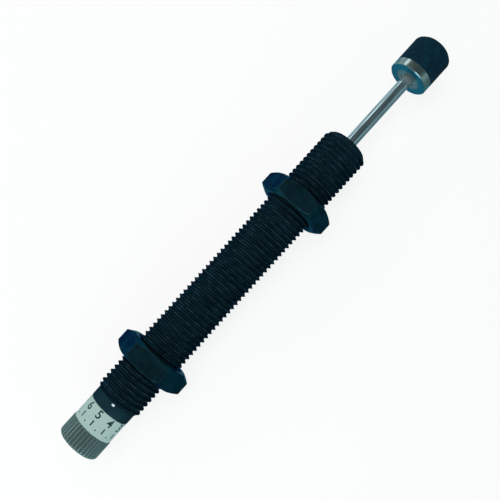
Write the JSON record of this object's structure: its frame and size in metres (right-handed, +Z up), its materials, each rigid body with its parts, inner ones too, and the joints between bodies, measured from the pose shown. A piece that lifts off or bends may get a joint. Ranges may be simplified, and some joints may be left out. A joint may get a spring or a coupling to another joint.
{
  "type": "industrial shock absorber",
  "caption": "Small adjustable hydraulic shock absorber with a threaded body, lock nuts, a piston rod with a rubber bumper and a fluted dial knob.",
  "frame": {"origin": "centre of the body's front face, on the axis", "axes": "+X along the axis, out through the piston rod; +Z up from the nut flats that the part lies on"},
  "size_m": [0.1475, 0.022, 0.019],
  "materials": {
    "black_oxide_steel": "black oxide, slightly oily",
    "spring_steel": "oiled spring steel",
    "plain_steel": "turned",
    "polished_rod": "hard chrome, ground and polished",
    "cap_steel": "turned, zinc plated",
    "bronze": "turned",
    "seal_rubber": "matte",
    "foam_rubber": "closed-cell foam",
    "bumper_rubber": "matte, dark blue-black",
    "dark_aluminium": "anodised grey, fluted",
    "pale_aluminium": "satin, with a printed scale"
  },
  "bodies": {
    "housing": {"body_tube": "black_oxide_steel", "retaining_ring": "spring_steel", "gland_washer": "plain_steel", "rod_wiper": "seal_rubber", "rod_seal": "seal_rubber", "rod_bearing": "bronze", "bearing_o_ring": "seal_rubber", "accumulator_foam": "foam_rubber", "pressure_tube": "plain_steel", "stop_pin": "plain_steel", "fill_ball": "plain_steel", "return_spring": "spring_steel"},
    "front_nut": {"front_lock_nut": "black_oxide_steel"},
    "rear_nut": {"rear_lock_nut": "black_oxide_steel"},
    "adjuster": {"metering_sleeve": "plain_steel", "adjuster_stem": "plain_steel", "stem_o_ring": "seal_rubber", "adjuster_knob": "dark_aluminium", "dial_band": "pale_aluminium", "knob_set_screw": "spring_steel"},
    "spring_guide": {"spring_seat": "plain_steel"},
    "rod": {"piston_rod": "polished_rod", "piston_head": "plain_steel", "piston_ring": "bronze", "piston_nut": "plain_steel", "bumper_cap": "cap_steel", "bumper_pad": "bumper_rubber"}
  },
  "joints": [
    {"name": "rod_stroke", "type": "slide", "parent": "housing", "child": "spring_guide", "axis": [1, 0, 0], "range_m": [-0.025, 0], "stiffness_N_per_m": 330, "springref_m": 0.021, "deforming": ["return_spring"]},
    {"name": "rod_turn", "type": "hinge", "parent": "spring_guide", "child": "rod", "pos_m": [0, 0, 0], "axis": [1, 0, 0], "continuous": true},
    {"name": "adjuster_turn", "type": "hinge", "parent": "housing", "child": "adjuster", "pos_m": [-0.09675, 0, 0], "axis": [1, 0, 0], "range_deg": [-180, 144]},
    {"name": "front_nut_travel", "type": "slide", "parent": "housing", "child": "front_nut", "axis": [1, 0, 0], "range_m": [-0.02597, 0.0189]},
    {"name": "rear_nut_travel", "type": "slide", "parent": "housing", "child": "rear_nut", "axis": [1, 0, 0], "range_m": [-0.0096, 0.02597]}
  ]
}
